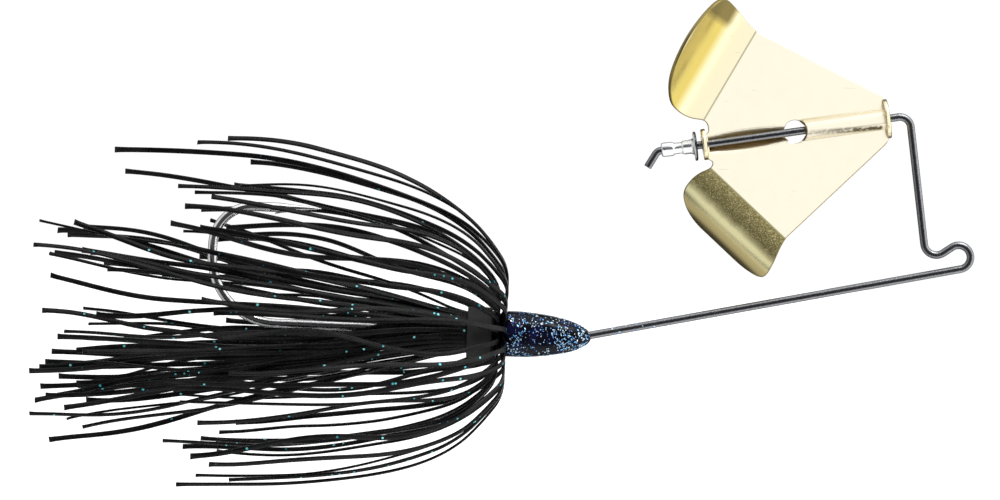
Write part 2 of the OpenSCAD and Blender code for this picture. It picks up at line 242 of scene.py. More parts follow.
def rib_painted_shade(look, colour):
    """Painted shade beside the front rib: a line above it, a line below and a mottled dark streak between.
    """
    along, up = look.attribute("along"), look.attribute("up")
    near = look.math("SUBTRACT", 1.0, look.attribute("far"))
    slope = look.math("MULTIPLY_ADD", along, 0.055, -0.475)
    blotch = look.ramp(look.noise(0.6, 4.0, 0.7), [(0.32, 0.25), (0.52, 1.0)])
    for place, width, reach, strength, tone in (
            (-1.5, 0.26, [(0.52, 0.0), (0.55, 1.0), (0.90, 0.2)], 0.6, (0.42, 0.33, 0.12)),
            (1.35, 0.16, [(0.52, 0.0), (0.56, 0.8), (0.95, 0.8), (0.97, 0.0)], 0.5, (0.50, 0.40, 0.18)),
            (slope, 0.42, [(0.53, 0.0), (0.58, 0.35), (0.84, 1.0), (0.965, 1.0), (0.975, 0.0)], 0.95,
             (0.06, 0.045, 0.015))):
        off = look.math("ABSOLUTE", look.math("ADD", up, place))
        line = look.rise(look.math("DIVIDE", off, width), 1.0, 0.35)
        span = look.ramp(look.math("DIVIDE", along, BLADE_SPAN), reach)
        share = look.times(line, span, near, blotch if place is slope else 1.0, strength)
        colour = look.blend(share, colour, tone)
    return colour


def gold_finish():
    """Polished brass: painted reflection bands by its place on the curl, a painted sheen on the flats,
    painted shade along the crease, rib and trough, with the stretched grain of the bend.
    """
    look = Finish("blade_gold", (0.95, 0.85, 0.58), 1.0, 0.24)
    along_curl, inside, up = (look.attribute(name) for name in ("curl", "inside", "up"))
    on_curl = look.math("DIVIDE", along_curl, CURL_SPAN, clamp=True)
    beyond_crease = look.rise(on_curl, 0.0, 0.012)
    cloud = look.noise(2.2, 3.0)
    wobble = look.math("MULTIPLY_ADD", cloud, 0.10, -0.05)
    # the band by the crease on the outside of a curl: painted dark reflection in the colour, stretched grain
    # in roughness and bump
    grain_and_dark_reflection = look.ramp(look.math("ADD", on_curl, wobble, clamp=True), [(0.0, 1.0), (0.24, 1.0), (0.36, 0.0)])
    speck = look.rise(look.noise(0.17, 5.0, 0.8), 0.50, 0.64)
    # painted sheen: the -Y face of the flats is paler cream than the +Y face
    flat = look.blend(look.attribute("far"), FLAT_NEAR_PAINTED_SHEEN, FLAT_FAR)
    curled = look.blend(inside, round_side(look, on_curl, grain_and_dark_reflection, speck), hollow_side(look, on_curl))
    colour = look.blend(beyond_crease, flat, curled)
    # painted shade: a dark line along the crease
    crease = look.rise(look.math("ABSOLUTE", look.math("ADD", along_curl, -0.06)), 0.17, 0.07)
    colour = look.blend(look.times(crease, 0.75), colour, (0.28, 0.26, 0.12))
    # the rims of the sheet and ears are darkened
    dark_rim = look.rise(look.attribute("rim"), 0.35, 0.9)
    colour = look.blend(look.times(dark_rim, 0.75), colour, (0.22, 0.17, 0.06))
    # painted shade lines beside the front rib
    colour = rib_painted_shade(look, colour)
    stretched = look.node("Mapping", Vector=look.place(), Scale=(0.12, 1.0, 1.0),
                          Rotation=(0.0, math.radians(-14), 0.0))
    scratch = look.rise(look.noise(0.5, 1.0, 0.4, stretched.outputs[0]), 0.755, 0.775)
    colour = look.blend(look.times(scratch, 0.25), colour, (0.55, 0.47, 0.25))
    # painted light in the trough behind the shaft: painted shade on its lower wall and a painted highlight
    # on its upper wall
    trough = look.rise(look.attribute("trough"), 0.05, 0.35)
    upper_wall = look.rise(look.math("ADD", up, 0.5), 0.45, 0.75)
    trough_painted_light = look.blend(upper_wall, (0.62, 0.42, 0.16), (0.95, 0.80, 0.48))
    grained = look.times(grain_and_dark_reflection, look.math("SUBTRACT", 1.0, inside), beyond_crease)
    rough = look.math("MULTIPLY_ADD", grained, 0.2, look.math("MULTIPLY_ADD", cloud, 0.10, 0.20))
    look.set(Base_Color=look.blend(look.times(trough, 0.8), colour, trough_painted_light),
             Roughness=look.math("MULTIPLY_ADD", trough, 0.25, rough))
    look.bump(look.math("MULTIPLY_ADD", scratch, -0.4, look.times(speck, grained)), 0.35, 0.02)
    return look.mat


def steel_finish(name, base, roughness, grain_mm, grain_depth, pitting, glinting=1.0):
    """Drawn wire or pressed metal: grains, dark pits, and black painted shade where a point attribute says
    so.
    """
    look = Finish(name, base, 1.0, roughness)
    fine = look.noise(grain_mm, 3.0, 0.65)
    pits, glints = look.rise(fine, 0.46, 0.30), look.rise(fine, 0.56, 0.66)
    darker = tuple(c * 0.25 for c in base)
    lighter = tuple(min(1.0, c * 1.35 + 0.03) for c in base)
    colour = look.blend(look.times(pits, pitting), base, darker)
    colour = look.blend(look.times(glints, glinting * 0.5), colour, lighter)
    # painted shade: points marked by the attribute are darkened to near black
    rubbed = look.times(look.attribute("rubbed"), 0.95)
    look.set(Base_Color=look.blend(rubbed, colour, (0.012, 0.012, 0.013)))
    look.roughen(look.noise(grain_mm * 4), max(0.02, roughness - 0.1))
    look.bump(fine, 0.5, grain_depth)
    return look.mat


def paint_finish():
    """Dark blue baked paint full of fine glitter, under a thin clear coat."""
    look = Finish("head_paint", (0.005, 0.006, 0.03), 0.0, 0.28, Coat_Weight=0.12, Coat_Roughness=0.08,
                  Coat_IOR=1.3, Specular_IOR_Level=0.08)
    base = look.ramp(look.noise(2.4, 3.0), [
        (0.38, (0.002, 0.002, 0.003)), (0.54, (0.003, 0.003, 0.012)), (0.72, (0.008, 0.007, 0.045))])
    fleck, own = look.flecks(0.26, (0.30, 0.20), (0.76, 0.78))
    crowd = look.ramp(look.noise(1.6, 1.0), [(0.40, 0.15), (0.56, 1.0)])
    tone = look.ramp(own, [(0.0, (0.04, 0.10, 0.45)), (0.35, (0.12, 0.40, 0.80)),
                           (0.65, (0.45, 0.80, 0.95)), (1.0, (0.95, 0.98, 1.0))])
    look.set(Base_Color=look.blend(look.times(fleck, crowd), base, tone))
    look.bump(look.noise(0.9), 0.25, 0.05)
    return look.mat


def flake_finish(name, tones, metallic, roughness):
    """Foil flakes, each one its own tone."""
    look = Finish(name, tones[0], metallic, roughness)
    stops = [(k / (len(tones) - 1), tone) for k, tone in enumerate(tones)]
    worn = look.times(look.noise(0.12), 0.35)
    look.set(Base_Color=look.blend(worn, look.ramp(look.attribute("tone"), stops), tones[0]))
    return look.mat


def silicone_finish():
    """Black skirt silicone: satin, faintly ribbed along the strand, with flecks deep inside."""
    look = Finish("skirt_silicone", (0.006, 0.006, 0.007), 0.0, 0.42, Specular_IOR_Level=0.16)
    base = look.ramp(look.noise(3.0, 3.0), [(0.35, (0.0008, 0.0008, 0.001)), (0.65, 0.007)])
    deep = look.times(look.flecks(0.8, (0.2, 0.12), (0.9, 0.92))[0], 0.6)
    look.set(Base_Color=look.blend(deep, base, (0.02, 0.10, 0.16)))
    look.roughen(look.noise(0.7, 3.0), 0.17)
    ribs = look.node("TexWave", {"wave_type": "BANDS", "bands_direction": "X"}, Scale=2.2, Distortion=0.4,
                     Detail=1.0, Vector=look.node("CombineXYZ", X=look.attribute("across")))
    look.bump(look.math("MULTIPLY_ADD", look.noise(0.25), 0.35, ribs.outputs["Fac"]), 0.35, 0.02)
    return look.mat


def rubber_finish(name, base, roughness, lump_mm):
    """Soft plastic or rubber, lumpy and cloudy."""
    look = Finish(name, base, 0.0, roughness)
    cloud = look.noise(lump_mm * 5, 3.0)
    look.set(Base_Color=look.blend(look.rise(cloud, 0.4, 0.7), base, tuple(c * 2.2 for c in base)))
    look.roughen(cloud, roughness - 0.1)
    look.bump(look.noise(lump_mm, 3.0), 0.4, 0.03)
    return look.mat


# ---- Mesh helpers ----


class Shape:
    """Points, faces and per-point numbers of one piece, in millimetres."""

    def __init__(self, points, faces, **numbers):
        self.points, self.faces, self.paint, self.numbers = [], [], [], {}
        self.add(points, faces, **numbers)

    def add(self, points, faces, paint=0, **numbers):
        first = len(self.points)
        self.points += [Vector(p) for p in points]
        self.faces += [tuple(first + k for k in face) for face in faces]
        self.paint += [paint] * len(faces)
        for name in sorted(set(self.numbers) | set(numbers)):
            row = self.numbers.setdefault(name, [0.0] * first)
            given = numbers.get(name, 0.0)
            row += list(given) if hasattr(given, "__len__") else [given] * len(points)

    def piece(self, name, body, node_name, slot_name, materials, flat_paints=()):
        mesh = bpy.data.meshes.new(name)
        mesh.from_pydata([p * MM for p in self.points], [], self.faces)
        for mat in materials:
            mesh.materials.append(mat)
        mesh.polygons.foreach_set("material_index", self.paint)
        mesh.polygons.foreach_set("use_smooth", [p not in flat_paints for p in self.paint])
        for key, row in self.numbers.items():
            mesh.attributes.new(key, "FLOAT", "POINT").data.foreach_set("value", row)
        mesh.validate()
        mesh.update()
        obj = in_scene(name, mesh)
        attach(obj, body)
        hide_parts(node_name)


def skin(rows, closed_rows=False):
    """Faces between rings of the same number of points; closed_rows joins the last ring to the first."""
    count = len(rows[0])
    faces = []
    for k in range(len(rows) if closed_rows else len(rows) - 1):
        a, b = k * count, (k + 1) % len(rows) * count
        for j in range(count):
            n = (j + 1) % count
            faces.append((a + j, a + n, b + n, b + j))
    return [p for row in rows for p in row], faces


def capped(rows):
    points, faces = skin(rows)
    count, last = len(rows[0]), (len(rows) - 1) * len(rows[0])
    faces.append(tuple(reversed(range(count))))
    faces.append(tuple(last + j for j in range(count)))
    return points, faces


# A pose is (x, z, heading) in the plane y = 0, and a step of a wire is ("line", length) or
# ("bend", radius, degrees), as in the CAD


def ahead(pose, length):
    return (pose[0] + length * cosd(pose[2]), pose[1] + length * sind(pose[2]), pose[2])


def turned(pose, radius, degrees):
    side = 1 if degrees > 0 else -1
    start = pose[2] - 90 * side
    end = start + degrees
    return (pose[0] + radius * (cosd(end) - cosd(start)),
            pose[1] + radius * (sind(end) - sind(start)), pose[2] + degrees)


def run(pose, steps, line_gap=1.5, bend_gap=5.0):
    """Poses along a bent wire."""
    poses = [pose]
    for step in steps:
        start = poses[-1]
        if step[0] == "line":
            count = max(1, round(step[1] / line_gap))
            poses += [ahead(start, step[1] * (k + 1) / count) for k in range(count)]
        else:
            count = max(2, round(abs(step[2]) / bend_gap))
            poses += [turned(start, step[1], step[2] * (k + 1) / count) for k in range(count)]
    return poses


def local(pose, p):
    """A point (along, through, across) of a pose's own frame, in the row frame."""
    c, s = cosd(pose[2]), sind(pose[2])
    return Vector((pose[0] + p[0] * c - p[2] * s, p[1], pose[1] + p[0] * s + p[2] * c))


def ring(pose, radius, count=24):
    return [local(pose, (0, radius * cosd(360 * k / count), radius * sind(360 * k / count)))
            for k in range(count)]


def turning(pose, profile, count=64, closed=False, shape=None):
    """A lathe round a pose's heading; a profile point is (along, radius)."""
    rows = []
    for along, radius in profile:
        row = []
        for k in range(count):
            a = 360 * k / count
            r = shape(along, radius, a) if shape else radius
            row.append(local(pose, (along, r * cosd(a), r * sind(a))))
        rows.append(row)
    return skin(rows, closed) if closed else capped(rows)


def flake(centre, normal, heading, half, stretch=1.0, thick=0.03):
    """A six-sided foil flake lying on a surface."""
    normal = normal.normalized()
    u = (heading - heading.dot(normal) * normal).normalized()
    v = normal.cross(u)
    top = [centre + (u * stretch * cosd(60 * k) + v * sind(60 * k)) * half for k in range(6)]
    foot = [p - normal * thick for p in top]
    faces = [tuple(range(6))] + [(k + 6, (k + 1) % 6 + 6, (k + 1) % 6, k) for k in range(6)]
    return top + foot, faces


def spline(values, parts):
    """Catmull-Rom through lists of numbers, with parts steps between neighbours."""
    made, last = [], len(values) - 1
    for k in range(last):
        a, b, c, d = (values[max(0, k - 1)], values[k], values[k + 1], values[min(last, k + 2)])
        for j in range(parts):
            t = j / parts
            made.append([0.5 * (2 * q + (r - p) * t + (2 * p - 5 * q + 4 * r - s) * t * t
                                + (3 * q - p - 3 * r + s) * t ** 3) for p, q, r, s in zip(a, b, c, d)])
    return made + [list(values[-1])]


# ---- Sizes shared with the CAD ----

ARM_SLOPE, ARM_LENGTH, WIRE_R = 12.7, 54.5, 0.575
TIE_R, TIE_TAIL, TIE_HEADING = 1.74, 1.5, 216
FOOT_R, UPRIGHT_HEADING, UPRIGHT_LENGTH = 1.8, 99, 17.1
TOP_R, SHAFT_HEADING, STOP_BEND, STOP_TIP = 1.6, 190.6, 50, 2.3
BLADE_LENGTH, SHAFT_PLAY, EAR_GAP = 27.4, 1.35, 0.75
RIVET_LENGTH, RIVET_LEAN = 5.2, 1.5
SHANK_Z, SHANK_END_X, HOOK_R, EYE_R, EYE_WIRE_R = -14.0, -98.6, 0.69, 1.45, 0.55
BEND_R, HOOK_BACK, POINT_BEND_R, POINT_LENGTH, TAPER_LENGTH = 9.5, 1.5, 5.8, 9.7, 6.0
HEAD_BACK, NOSE, BARREL_END = -65.1, -52.7, -77.0
COLLAR_FRONT, COLLAR_BACK = -67.1, -70.7

TIE_START = (TIE_R * sind(ARM_SLOPE), -TIE_R * cosd(ARM_SLOPE), ARM_SLOPE)
ARM_BACK = (TIE_START[0], TIE_START[1], ARM_SLOPE + 180)
ANCHOR = run(ARM_BACK, [("line", ARM_LENGTH + 1.2), ("bend", 3, 15), ("line", 2.35),
                        ("bend", 1.05, -ARM_SLOPE - 105), ("line", 2.4)])
RISE = run(TIE_START, [
    ("bend", TIE_R, TIE_HEADING - ARM_SLOPE), ("line", TIE_TAIL),
    ("bend", FOOT_R, UPRIGHT_HEADING - TIE_HEADING), ("line", UPRIGHT_LENGTH),
    ("bend", TOP_R, SHAFT_HEADING - UPRIGHT_HEADING)])
SHAFT_START = RISE[-1]
RIVET_POSE = ahead(SHAFT_START, SHAFT_PLAY + BLADE_LENGTH + EAR_GAP)
BLADE_POSE = (*ahead(SHAFT_START, SHAFT_PLAY + BLADE_LENGTH)[:2], SHAFT_HEADING - 180)
EYE_X = ANCHOR[-1][0]


# ---- Wire arm ----

SPILL_END, SPILL_REACH = ARM_LENGTH - 3.2, 7.5


def spill_glitter(shape):
    """Glitter of the paint that ran onto the wire in front of the nose."""
    along = Vector((cosd(ARM_SLOPE), 0, sind(ARM_SLOPE)))
    for _ in range(26):
        spot = ahead(ARM_BACK, SPILL_END - rng.random() ** 1.6 * SPILL_REACH)
        a = rng.uniform(0, 360)
        normal = Vector((-sind(ARM_SLOPE) * sind(a), cosd(a), cosd(ARM_SLOPE) * sind(a)))
        centre = Vector((spot[0], 0, spot[1])) + normal * (WIRE_R + 0.012)
        shape.add(*flake(centre, normal, along, rng.uniform(0.06, 0.11), rng.uniform(1, 1.8)), 1,
                  tone=rng.random())


def build_wire_arm(mat, flake_mat):
    front = [(x, z, heading - 180) for x, z, heading in reversed(ANCHOR)]
    shaft = run(SHAFT_START, [("line", SHAFT_PLAY + BLADE_LENGTH + EAR_GAP + RIVET_LENGTH + 0.1),
                              ("bend", 1.0, STOP_BEND), ("line", STOP_TIP)])
    poses = front + RISE[1:] + shaft[1:]
    rows = [ring(poses[0], WIRE_R)]
    for before, pose, after in zip(poses, poses[1:], poses[2:]):
        # hand-bent wire is flattened a little on the outside of its bends
        gap = math.hypot(after[0] - before[0], after[1] - before[1])
        rows.append(ring(pose, WIRE_R * (1 - min(0.03, 0.0006 * abs(after[2] - before[2]) / max(gap, 0.1)))))
    rows += [ring(ahead(poses[-1], back), radius)
             for back, radius in ((-0.12, WIRE_R), (-0.03, WIRE_R - 0.04), (0, WIRE_R - 0.14))]
    shape = Shape(*capped(rows))
    spill_glitter(shape)
    shape.piece("wire_arm_drawn", "frame", "wire_arm", "arm_wire", [mat, flake_mat], (1,))


# ---- Hook ----


def hook_eye():
    """The eye, cast into the head."""
    return skin([[Vector((EYE_X + (EYE_R + EYE_WIRE_R * cosd(b)) * cosd(a),
                          (EYE_R + EYE_WIRE_R * cosd(b)) * sind(a), SHANK_Z + EYE_WIRE_R * sind(b)))
                  for b in range(0, 360, 30)] for a in (360 * k / 28 for k in range(28))], True)


def barb(tip):
    """A chip raised from the inner side of the point."""
    rows = []
    for k in range(9):
        t = k / 8
        lift, half, low = mix(0.92, 0.40, t ** 0.75), mix(0.05, 0.26, ease(t * 1.6)), mix(0.42, 0.16, t)
        x, z, _ = ahead(tip, mix(-0.55, 2.6, t) - 0.15)
        rows.append([Vector((x, side * half, z - height))
                     for side, height in ((-1, lift - low), (-1, lift), (-0.45, lift + 0.07),
                                          (0.45, lift + 0.07), (1, lift), (1, lift - low))])
    return capped(rows)


def build_hook(mat):
    start = (EYE_X - EYE_R, SHANK_Z, 180.0)
    poses = run(start, [("line", start[0] - SHANK_END_X), ("bend", BEND_R, -90), ("line", HOOK_BACK),
                        ("bend", POINT_BEND_R, -90), ("line", POINT_LENGTH - TAPER_LENGTH)])
    rows, tip = [ring(pose, HOOK_R) for pose in poses], poses[-1]
    for t in (k / 12 for k in range(1, 13)):
        # a needle point: a long hollow taper, offset towards the outside
        x, z, heading = ahead(tip, TAPER_LENGTH * t)
        r = HOOK_R * (1 - t) ** 0.8 * (1 - 0.16 * math.sin(math.pi * t)) + 0.035
        rows.append(ring((x, z + 0.10 * t, heading), r))
    shape = Shape(*capped(rows))
    shape.add(*hook_eye())
    shape.add(*barb(tip))
    shape.piece("hook_forged", "frame", "hook", "hook_steel", [mat])


# ---- Blade ----

SHEET, EDGE_SOFT = 0.6, 0.11
EAR_T, EAR_BORE, REAR_EAR_R, FRONT_EAR_R = 0.7, 0.7, 2.3, 2.9
UPPER_CURL_R, LOWER_CURL_R, CURL_LIMIT = 8.9, 7.1, 78.0
UPPER_TAB, LOWER_TAB, NECK_X = 1.5, 2.4, 1.2
CREASE_IN, CREASE_OUT = (0.8, 3.5), (10.1, 15.15)
CREASE_DIR = math.atan2(CREASE_OUT[1] - CREASE_IN[1], CREASE_OUT[0] - CREASE_IN[0])
CREASE_E = (math.cos(CREASE_DIR), math.sin(CREASE_DIR))
CREASE_N = (-CREASE_E[1], CREASE_E[0])
# edge of a paddle laid flat: (distance along the crease, distance beyond it)
PADDLE_EDGE = [(-0.7, 1.6), (-0.9, 3.6), (-0.1, 6.2), (3.5, 9.2), (8.7, 10.5), (13.5, 9.4), (16.4, 7.5),
               (16.3, 4.7), (15.3, 1.6)]
HOLE_X, HOLE_R = 13.6, 1.67


def crease_place(x, z):
    """Distance along the crease and beyond it, of a point of the flat blank."""
    dx, dz = x - CREASE_IN[0], abs(z) - CREASE_IN[1]
    return dx * CREASE_E[0] + dz * CREASE_E[1], dx * CREASE_N[0] + dz * CREASE_N[1]


def past_crease(e, n):
    """The point of the upper wing that is e along its crease and n beyond it."""
    return tuple(CREASE_IN[i] + e * CREASE_E[i] + n * CREASE_N[i] for i in (0, 1))


def rib_height(x, z):
    """How far the pressed rib pushes the sheet out: towards +Y behind the hole, -Y before it."""
    rear = x < HOLE_X
    t = (x - 0.7) / 11.2 if rear else (x - 15.2) / 11.5
    half = 1.08 + (0.40 * math.sin(math.pi * min(1, max(0, t))) if rear else 0.14)
    q = abs(z + (0.12 if rear else 0.0)) / half
    if q >= 1.22:
        return 0.0
    rise = 0.5 * (1 + math.cos(math.pi * (q / 1.22) ** 1.55))
    fade = ease(abs(x - HOLE_X) / 1.3)
    return 1.06 * rise * fade * (1 if rear else -1)


def blade_point(x, z):
    """The blank's point (x, z) on the formed sheet, in the blade's own frame."""
    side = 1 if z >= 0 else -1
    radius = UPPER_CURL_R if z >= 0 else LOWER_CURL_R
    e, s = crease_place(x, z)
    if s <= 0:
        # the big flats are hand-formed and never quite flat
        warp = 0.05 * math.sin(x * 0.23 + 1.0) * math.sin(z * 0.17) * ease((abs(z) - 2.4) / 3) * ease(-s / 2)
        return Vector((x, rib_height(x, z) + warp, z))
    angle = math.degrees(s / radius)
    x, z = past_crease(e, radius * sind(angle))
    return Vector((x, -side * radius * (1 - cosd(angle)), side * z))


def arc(centre, radius, start, end, steps):
    angles = [mix(start, end, k / steps) for k in range(steps + 1)]
    return [(centre[0] + radius * cosd(a), centre[1] + radius * sind(a)) for a in angles]


def half_outline(curl_r, tab):
    """Outline of one wing of the flat blank, from the rear ear to the front ear."""
    furthest = curl_r * math.radians(CURL_LIMIT)
    unrolled = [past_crease(e, min(s, furthest)) for e, s in spline(PADDLE_EDGE, 4)]
    return ([(0.45, tab), (NECK_X, tab), (NECK_X, 3.0), CREASE_IN] + unrolled
            + [CREASE_OUT, (26.6, 3.55), (27.05, 2.75)])


def evenly(points, gap):
    """A closed outline's points, evenly spaced."""
    made = []
    for a, b in zip(points, points[1:] + points[:1]):
        count = max(1, round(math.dist(a, b) / gap))
        made += [(mix(a[0], b[0], k / count), mix(a[1], b[1], k / count)) for k in range(count)]
    return made


def softened(points, passes):
    for _ in range(passes):
        points = [((a[0] + 2 * b[0] + c[0]) / 4, (a[1] + 2 * b[1] + c[1]) / 4)
                  for a, b, c in zip(points[-1:] + points[:-1], points, points[1:] + points[:1])]
    return points


def inside_outline(p, outline, margin):
    """True if p is inside the outline and no nearer to it than margin."""
    odd = False
    for (ax, ay), (bx, by) in zip(outline, outline[1:] + outline[:1]):
        if (ay > p[1]) != (by > p[1]) and p[0] < (bx - ax) * (p[1] - ay) / (by - ay) + ax:
            odd = not odd
        if math.hypot(p[0] - ax, p[1] - ay) < margin:
            return False
    return odd


def blank_points(outline):
    """Points inside the blank: close together on the ribs and curls, sparse on the flats."""
    ribs = [(0.6 + i * 0.25, j * 0.21, 0.3) for i in range(110) for j in range(-10, 11)]
    flats = [(0.9 + i + 0.5 * (j % 2), j, 0.4) for i in range(27) for j in range(-16, 17)]
    flats = [p for p in flats if abs(p[1]) > 2.5 and crease_place(p[0], p[1])[1] < -0.8]
    beyond = [-0.35, 0.0, *[0.2 + 0.42 * k for k in range(26)]]
    curls = [past_crease(i * 0.45, s) for i in range(-2, 40) for s in beyond]
    curls = [(x, side * z, 0.3) for side in (1, -1) for x, z in curls]
    return [(x, z) for x, z, margin in ribs + flats + curls
            if math.hypot(x - HOLE_X, z) > HOLE_R + margin and inside_outline((x, z), outline, margin)]


def sheet_frame(x, z):
    """A point of the formed sheet and its normal, which faces -Y on the flats."""
    d = 0.02
    here = blade_point(x, z)
    along = blade_point(x + d, z) - blade_point(x - d, z)
    across = blade_point(x, z + d) - blade_point(x, z - d)
    return here, along.cross(across).normalized()


def cut_blank():
    """Points and triangles of the flat blank, with its hole."""
    upper = half_outline(UPPER_CURL_R, UPPER_TAB)
    lower = [(x, -z) for x, z in reversed(half_outline(LOWER_CURL_R, LOWER_TAB))]
    outline = softened(evenly(list(reversed(upper + lower)), 0.3), 3)
    area = sum(a[0] * b[1] - b[0] * a[1] for a, b in zip(outline, outline[1:] + outline[:1]))
    if area < 0:
        outline.reverse()
    hole = arc((HOLE_X, 0), HOLE_R, 0, 360, 48)[:-1]
    edges = [(k, (k + 1) % len(outline)) for k in range(len(outline))]
    edges += [(len(outline) + k, len(outline) + (k + 1) % len(hole)) for k in range(len(hole))]
    flat = [Vector(p) for p in outline + hole + blank_points(outline)]
    points, _, triangles = delaunay_2d_cdt(flat, edges, [], 2, 1e-6)[:3]
    middles = {tuple(t): (points[t[0]] + points[t[1]] + points[t[2]]) / 3 for t in triangles}
    return points, [t for t, m in middles.items() if math.hypot(m.x - HOLE_X, m.y) > HOLE_R]


def next_on_rim(triangles):
    """The point that follows each point of the blank's rim."""
    sides = {side for t in triangles for side in zip(t, t[1:] + t[:1])}
    return {a: b for a, b in sides if (b, a) not in sides}


def sheet_numbers(x, z, offset, rim):
    """Where a point of the formed sheet is, for the brass."""
    reach, curl = crease_place(x, z)
    hollow = -offset * (1 if x < HOLE_X else -1)
    return {"curl": curl, "inside": float(offset * z > 0), "rim": rim, "reach": reach,
            "trough": abs(rib_height(x, z)) if curl < 0 and hollow < 0 else 0.0,
            "along": x, "up": z, "far": float(offset <= 0)}


def formed_sheet():
    points, triangles = cut_blank()
    after = next_on_rim(triangles)
    before = {b: a for a, b in after.items()}
    half, soft, margin = SHEET / 2, EDGE_SOFT, 2 * EDGE_SOFT
    profile = [(-margin, half), (-soft, half), (-0.293 * soft, half - 0.293 * soft), (0, half - soft),
               (0, soft - half), (-0.293 * soft, 0.293 * soft - half), (-soft, -half), (-margin, -half)]
    rows, told, ids = [], [], []

    def put(x, z, offset, rim):
        here, normal = sheet_frame(x, z)
        rows.append(local(BLADE_POSE, here + normal * offset))
        told.append(sheet_numbers(x, z, offset, rim))
        return len(rows) - 1

    for k, p in enumerate(points):
        if k not in after:
            ids.append([put(p[0], p[1], half, 0.0), put(p[0], p[1], -half, 0.0)])
            continue
        a, b = points[before[k]], points[after[k]]
        out = Vector((b[1] - a[1], a[0] - b[0])).normalized()
        # the rim is darkened a little further in along the lower edge than along the upper one
        reach, curl = crease_place(p[0], p[1])
        darker_inwards = p[1] < -3.5 or (curl > 0 and reach < 4)
        rim = {-margin: 0.0, -soft: float(darker_inwards)}
        ids.append([put(p[0] + out.x * off, p[1] + out.y * off, lift, rim.get(off, 1.0))
                    for off, lift in profile])
    faces = []
    for a, b, c in triangles:
        faces += [(ids[a][0], ids[b][0], ids[c][0]), (ids[c][-1], ids[b][-1], ids[a][-1])]
    for a, b in after.items():
        faces += [(ids[a][j], ids[a][j + 1], ids[b][j + 1], ids[b][j]) for j in range(len(profile) - 1)]
    return Shape(rows, faces, **{key: [numbers[key] for numbers in told] for key in told[0]})


def ear(x, radius):
    """A plate across the shaft, with a rounded rim and a bore, and the share of darkened rim at each point.
    """
    profile = [(0.0, EAR_BORE), (0.0, radius - 0.16), (0.05, radius - 0.05), (0.16, radius),
               (EAR_T - 0.16, radius), (EAR_T - 0.05, radius - 0.05), (EAR_T, radius - 0.16),
               (EAR_T, EAR_BORE)]
    # the share of darkened rim: the two rim rows on the +X face
    worn = [float(row in (5, 6)) for row in range(len(profile)) for _ in range(72)]
    return turning(ahead(BLADE_POSE, x), profile, 72, closed=True), worn


def ear_fillet(x, way, low, high, side):
    """The small radius inside the bend that carries an ear, on one side of the sheet."""
    half, rows = SHEET / 2, []
    for z in (mix(low, high, k / 12) for k in range(13)):
        room = 0.34 * (1 - 0.5 * abs(2 * (z - low) / (high - low) - 1) ** 4)
        curve = [(x - way * 0.1, half - 0.15)]
        curve += [(x + way * room * (1 - sind(a)), half - 0.02 + room * (1 - cosd(a)))
                  for a in range(0, 91, 15)]
        row = [local(BLADE_POSE, (along, side * y, z)) for along, y in curve]
        rows.append(row if way * side > 0 else list(reversed(row)))
    return capped(rows)


def build_blade(mat):
    shape = formed_sheet()
    flat = {"curl": -5.0, "inside": 0.0, "reach": 0.0, "trough": 0.0, "along": 0.0, "up": 9.0, "far": 0.7}
    for x, radius in ((0.0, REAR_EAR_R), (BLADE_LENGTH - EAR_T, FRONT_EAR_R)):
        plate, worn = ear(x, radius)
        shape.add(*plate, rim=worn, **flat)
    for x, way, low, high in ((0.65, 1, -2.15, 1.4), (26.75, -1, -2.7, 2.7)):
        for side in (1, -1):
            shape.add(*ear_fillet(x, way, low, high, side), rim=0.0, **flat)
    shape.piece("blade_sheet", "blade", "blade", "blade_metal", [mat])


# ---- Rivet ----


def build_rivet(mat):
    x, z, heading = ahead(RIVET_POSE, RIVET_LENGTH / 2)
    pose = ahead((x, z, heading - RIVET_LEAN), -RIVET_LENGTH / 2)
    body, waist, bore = 1.05, 0.85, 0.73
    profile = [(0.03, bore), (0.0, bore + 0.06), (0.0, 1.9), (0.05, 2.06), (0.14, 2.14), (0.26, 2.15),
               (0.40, 2.12), (0.48, 2.02), (0.5, 1.6), (0.52, 1.36), (0.62, 1.2), (0.8, body + 0.03),
               (1.0, body), (1.9, body), (2.06, body - 0.03), (2.2, waist + 0.04), (2.34, waist),
               (3.2, waist), (3.36, waist + 0.04), (3.5, body - 0.03), (3.66, body), (4.9, body),
               (5.08, body - 0.05), (5.17, body - 0.12), (RIVET_LENGTH, bore + 0.1), (5.17, bore)]

    def worn(along, radius, a):
        # pressed a little out of round by the tool that closed it
        if radius <= bore + 0.06 or along < 0.8:
            return radius
        dent = 0.035 * math.sin(math.radians(2 * a) + along * 0.9) * ease((along - 0.8) / 0.6)
        return max(bore + 0.05, radius + min(0.0, dent))

    # the flange's front face and rim, against the ear, are painted black as shade
    rubbed = [float(1 <= row <= 5) for row in range(len(profile)) for _ in range(64)]
    shape = Shape(*turning(pose, profile, 64, closed=True, shape=worn), rubbed=rubbed)
    shape.piece("rivet_pressed", "rivet", "rivet", "rivet_metal", [mat])


# ---- Head ----


def head_radius(x):
    t = (x - HEAD_BACK) / (NOSE - HEAD_BACK)
    return 3.35 * math.sqrt(max(0.0, 1 - max(0.0, t) ** 2.1))


def head_point(x, a, radius):
    """A point of the casting: flattened cheeks, a mould seam and a slightly uneven coat of paint."""
    y, z = radius * cosd(a), radius * sind(a)
    cheek = mix(3.6, 2.75, ease((x + 63.0) / 4.5))
    if x > HEAD_BACK and abs(y) > cheek * 0.8:
        over = abs(y) - cheek * 0.8
        room = cheek * 0.2
        y = math.copysign(cheek * 0.8 + room * math.tanh(over / room), y)
    p = Vector((x, y, SHANK_Z + z))
    if radius > 0.5:
        out = Vector((0, cosd(a), sind(a)))
        seam = 0.045 * math.exp(-(y / 0.16) ** 2)
        rough = 0.05 * noise.noise(p * 0.55) + 0.018 * noise.noise(p * 1.9)
        p += out * (seam + rough - 0.045)
    return p


